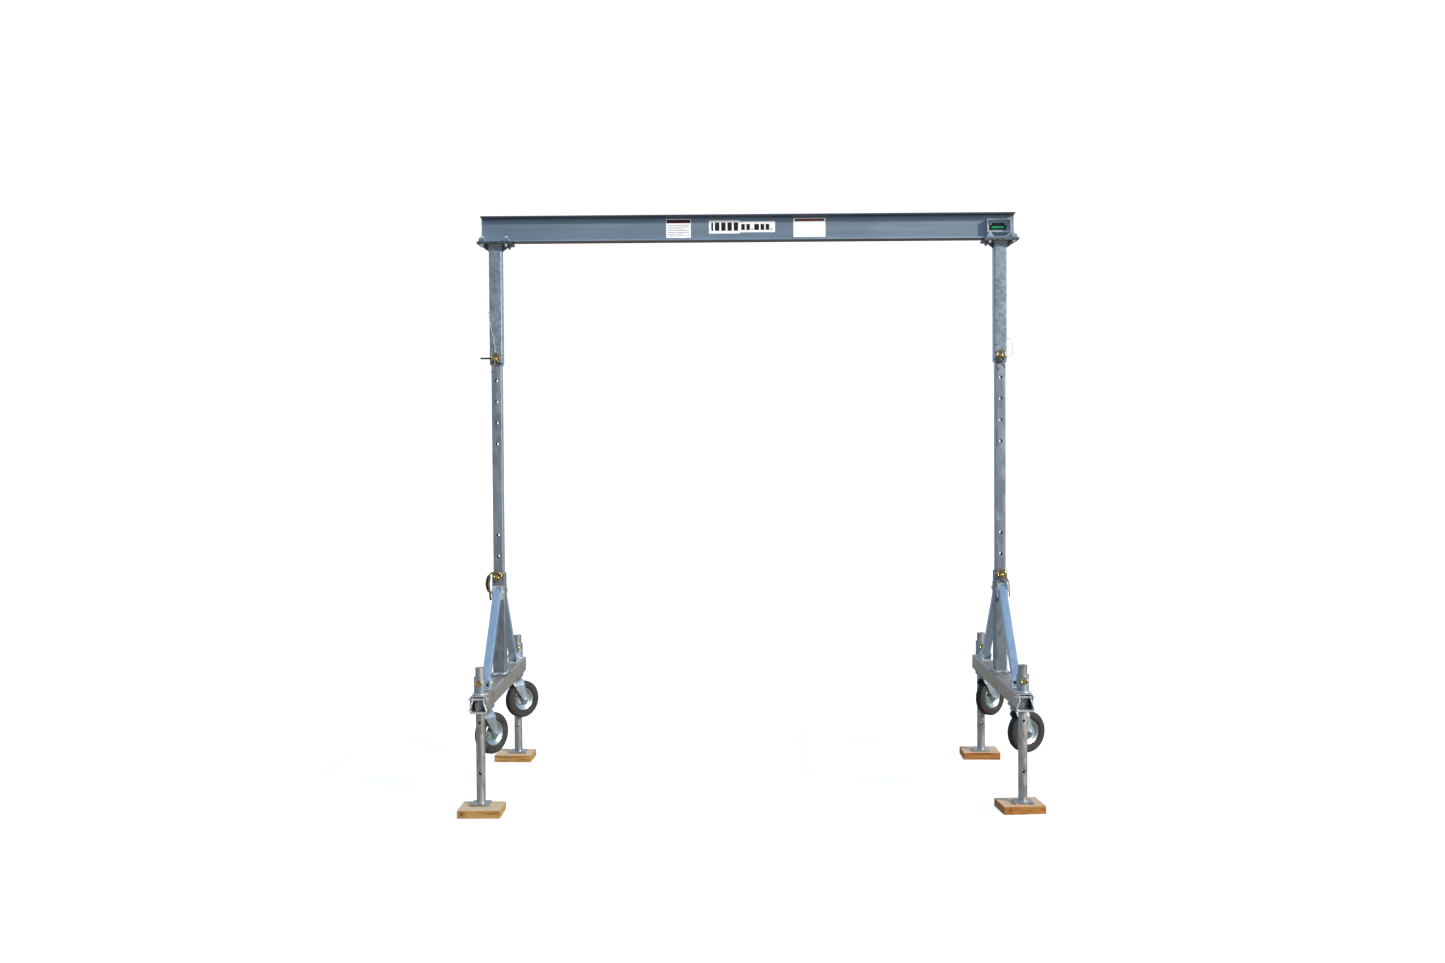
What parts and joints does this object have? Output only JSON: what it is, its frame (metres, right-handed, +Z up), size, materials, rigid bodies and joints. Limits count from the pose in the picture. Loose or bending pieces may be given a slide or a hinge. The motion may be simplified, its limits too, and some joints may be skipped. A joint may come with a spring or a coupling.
{
  "type": "portable gantry crane",
  "caption": "Height-adjustable portable gantry: an I-beam on two telescoping legs, each on a braced base with swivel casters and pinned jack legs.",
  "frame": {"origin": "on the floor under the middle of the beam, at the middle of the overall box", "axes": "+X along the beam, to the right from the side with the pin handles; +Y across the beam, away from that side; +Z up"},
  "size_m": [2.7498, 1.3285, 2.832],
  "materials": {
    "beam_aluminium": "mill finish aluminium with a blue-grey cast and faint rolling lines",
    "label_film": "white vinyl film",
    "tray_aluminium": "bent sheet, mill finish",
    "name_plate_black": "black plate",
    "galvanised_steel": "hot-dip galvanised, mottled with spangle and scuffs",
    "brace_steel": "bright zinc plated tube",
    "zinc_fastener": "zinc plated",
    "bright_zinc": "bright zinc plated pressing",
    "yellow_zinc": "yellow passivated zinc",
    "wire_rope": "thin galvanised wire",
    "tyre_rubber": "dark grey rubber, dusty",
    "timber": "rough sawn treated softwood"
  },
  "bodies": {
    "beam_frame": {"i_beam": "beam_aluminium", "warning_label": "label_film", "capacity_label": "label_film", "notice_label": "label_film", "name_plate_frame": "tray_aluminium", "name_plate": "name_plate_black", "left_saddle": "galvanised_steel", "right_saddle": "galvanised_steel", "left_upper_leg": "galvanised_steel", "right_upper_leg": "galvanised_steel", "saddle_clamps": "galvanised_steel", "saddle_bolts": "zinc_fastener", "left_lanyard": "wire_rope", "right_lanyard": "wire_rope"},
    "left_inner_column": {"left_column": "galvanised_steel"},
    "left_base": {"left_base_tube": "galvanised_steel", "left_stub_column": "galvanised_steel", "left_near_brace": "brace_steel", "left_far_brace": "brace_steel", "left_brace_brackets": "galvanised_steel", "left_base_bolts": "zinc_fastener", "left_jack_sleeves": "galvanised_steel", "left_caster_plates": "galvanised_steel", "left_timber_pads": "timber"},
    "right_inner_column": {"right_column": "galvanised_steel"},
    "right_base": {"right_base_tube": "galvanised_steel", "right_stub_column": "galvanised_steel", "right_near_brace": "brace_steel", "right_far_brace": "brace_steel", "right_brace_brackets": "galvanised_steel", "right_base_bolts": "zinc_fastener", "right_jack_sleeves": "galvanised_steel", "right_caster_plates": "galvanised_steel", "right_timber_pads": "timber"},
    "near_left_jack": {"near_left_jack_leg": "galvanised_steel"},
    "near_left_caster": {"near_left_fork": "bright_zinc"},
    "near_left_wheel": {"near_left_rim": "bright_zinc", "near_left_tyre": "tyre_rubber"},
    "near_left_jack_lock": {"near_left_jack_pin": "yellow_zinc"},
    "far_left_jack": {"far_left_jack_leg": "galvanised_steel"},
    "far_left_caster": {"far_left_fork": "bright_zinc"},
    "far_left_wheel": {"far_left_rim": "bright_zinc", "far_left_tyre": "tyre_rubber"},
    "far_left_jack_lock": {"far_left_jack_pin": "yellow_zinc"},
    "left_upper_lock": {"left_upper_pin": "yellow_zinc"},
    "left_lower_lock": {"left_lower_pin": "yellow_zinc"},
    "left_bail_loop": {"left_bail": "zinc_fastener"},
    "near_right_jack": {"near_right_jack_leg": "galvanised_steel"},
    "near_right_caster": {"near_right_fork": "bright_zinc"},
    "near_right_wheel": {"near_right_rim": "bright_zinc", "near_right_tyre": "tyre_rubber"},
    "near_right_jack_lock": {"near_right_jack_pin": "yellow_zinc"},
    "far_right_jack": {"far_right_jack_leg": "galvanised_steel"},
    "far_right_caster": {"far_right_fork": "bright_zinc"},
    "far_right_wheel": {"far_right_rim": "bright_zinc", "far_right_tyre": "tyre_rubber"},
    "far_right_jack_lock": {"far_right_jack_pin": "yellow_zinc"},
    "right_upper_lock": {"right_upper_pin": "yellow_zinc"},
    "right_lower_lock": {"right_lower_pin": "yellow_zinc"},
    "right_bail_loop": {"right_bail": "zinc_fastener"}
  },
  "joints": [
    {"name": "left_upper_telescope", "type": "slide", "parent": "beam_frame", "child": "left_inner_column", "axis": [0, 0, -1], "range_m": [-0.42, 0.105]},
    {"name": "left_lower_telescope", "type": "slide", "parent": "left_inner_column", "child": "left_base", "axis": [0, 0, -1], "range_m": [-0.21, 0.105]},
    {"name": "right_upper_telescope", "type": "slide", "parent": "beam_frame", "child": "right_inner_column", "axis": [0, 0, -1], "range_m": [-0.42, 0.105]},
    {"name": "right_lower_telescope", "type": "slide", "parent": "right_inner_column", "child": "right_base", "axis": [0, 0, -1], "range_m": [-0.21, 0.105]},
    {"name": "near_left_jack_slide", "type": "slide", "parent": "left_base", "child": "near_left_jack", "axis": [0, 0, 1], "range_m": [0, 0.413]},
    {"name": "near_left_swivel", "type": "hinge", "parent": "left_base", "child": "near_left_caster", "pos_m": [-1.25, -0.449, 0.45], "axis": [0, 0, 1], "range_deg": [-112, 178]},
    {"name": "near_left_wheel_spin", "type": "hinge", "parent": "near_left_caster", "child": "near_left_wheel", "pos_m": [-1.2244, -0.40958, 0.342], "axis": [-0.8387, 0.5446, 0], "continuous": true},
    {"name": "near_left_jack_pin_pull", "type": "slide", "parent": "left_base", "child": "near_left_jack_lock", "axis": [0, -1, 0], "range_m": [0, 0.08]},
    {"name": "far_left_jack_slide", "type": "slide", "parent": "left_base", "child": "far_left_jack", "axis": [0, 0, 1], "range_m": [0, 0.413]},
    {"name": "far_left_swivel", "type": "hinge", "parent": "left_base", "child": "far_left_caster", "pos_m": [-1.25, 0.449, 0.45], "axis": [0, 0, 1], "range_deg": [-280, 12]},
    {"name": "far_left_wheel_spin", "type": "hinge", "parent": "far_left_caster", "child": "far_left_wheel", "pos_m": [-1.21677, 0.48223, 0.342], "axis": [-0.7071, 0.7071, 0], "continuous": true},
    {"name": "far_left_jack_pin_pull", "type": "slide", "parent": "left_base", "child": "far_left_jack_lock", "axis": [0, -1, 0], "range_m": [0, 0.08]},
    {"name": "left_upper_pin_pull", "type": "slide", "parent": "beam_frame", "child": "left_upper_lock", "axis": [0, -1, 0], "range_m": [0, 0.09]},
    {"name": "left_lower_pin_pull", "type": "slide", "parent": "left_base", "child": "left_lower_lock", "axis": [0, -1, 0], "range_m": [0, 0.09]},
    {"name": "left_bail_swing", "type": "hinge", "parent": "left_base", "child": "left_bail_loop", "pos_m": [-1.25, -0.6, 0.534], "axis": [1, 0, 0], "range_deg": [-65, 0]},
    {"name": "near_right_jack_slide", "type": "slide", "parent": "right_base", "child": "near_right_jack", "axis": [0, 0, 1], "range_m": [0, 0.413]},
    {"name": "near_right_swivel", "type": "hinge", "parent": "right_base", "child": "near_right_caster", "pos_m": [1.25, -0.449, 0.45], "axis": [0, 0, 1], "range_deg": [-82, 208]},
    {"name": "near_right_wheel_spin", "type": "hinge", "parent": "near_right_caster", "child": "near_right_wheel", "pos_m": [1.29188, -0.42766, 0.342], "axis": [-0.454, 0.891, 0], "continuous": true},
    {"name": "near_right_jack_pin_pull", "type": "slide", "parent": "right_base", "child": "near_right_jack_lock", "axis": [0, -1, 0], "range_m": [0, 0.08]},
    {"name": "far_right_jack_slide", "type": "slide", "parent": "right_base", "child": "far_right_jack", "axis": [0, 0, 1], "range_m": [0, 0.413]},
    {"name": "far_right_swivel", "type": "hinge", "parent": "right_base", "child": "far_right_caster", "pos_m": [1.25, 0.449, 0.45], "axis": [0, 0, 1], "range_deg": [-275, 17]},
    {"name": "far_right_wheel_spin", "type": "hinge", "parent": "far_right_caster", "child": "far_right_wheel", "pos_m": [1.286, 0.47921, 0.342], "axis": [-0.6428, 0.766, 0], "continuous": true},
    {"name": "far_right_jack_pin_pull", "type": "slide", "parent": "right_base", "child": "far_right_jack_lock", "axis": [0, -1, 0], "range_m": [0, 0.08]},
    {"name": "right_upper_pin_pull", "type": "slide", "parent": "beam_frame", "child": "right_upper_lock", "axis": [0, -1, 0], "range_m": [0, 0.09]},
    {"name": "right_lower_pin_pull", "type": "slide", "parent": "right_base", "child": "right_lower_lock", "axis": [0, -1, 0], "range_m": [0, 0.09]},
    {"name": "right_bail_swing", "type": "hinge", "parent": "right_base", "child": "right_bail_loop", "pos_m": [1.25, -0.6, 0.534], "axis": [1, 0, 0], "range_deg": [-65, 0]}
  ],
  "couplings": [
    {"joint": "right_upper_telescope", "follows": "left_upper_telescope", "ratio": 1},
    {"joint": "right_lower_telescope", "follows": "left_lower_telescope", "ratio": 1}
  ]
}
